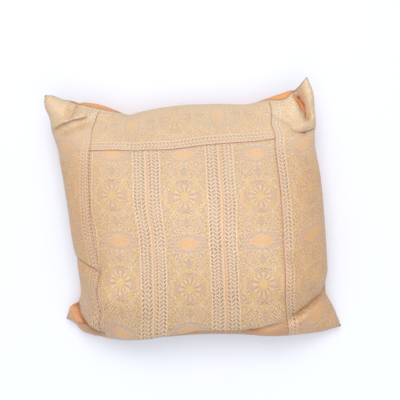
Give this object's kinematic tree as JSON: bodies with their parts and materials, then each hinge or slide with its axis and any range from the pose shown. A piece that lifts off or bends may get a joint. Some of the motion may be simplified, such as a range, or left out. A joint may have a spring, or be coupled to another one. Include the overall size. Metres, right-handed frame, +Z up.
{
  "type": "decorative cushion",
  "caption": "Square filled cushion lying on its back, its front pieced from strips of pale gold brocade, with a plain orange back and drawn-out corners.",
  "frame": {"origin": "centre of the bounding box's underside, where the back rests on the surface", "axes": "+Z up through the face, +Y to the top of the pieced front, +X to its right"},
  "size_m": [0.5333, 0.469, 0.1437],
  "materials": {
    "brocade": "woven, soft sheen",
    "back_cloth": "plain woven, silky"
  },
  "bodies": {
    "root": {"cushion": "brocade"}
  },
  "joints": []
}
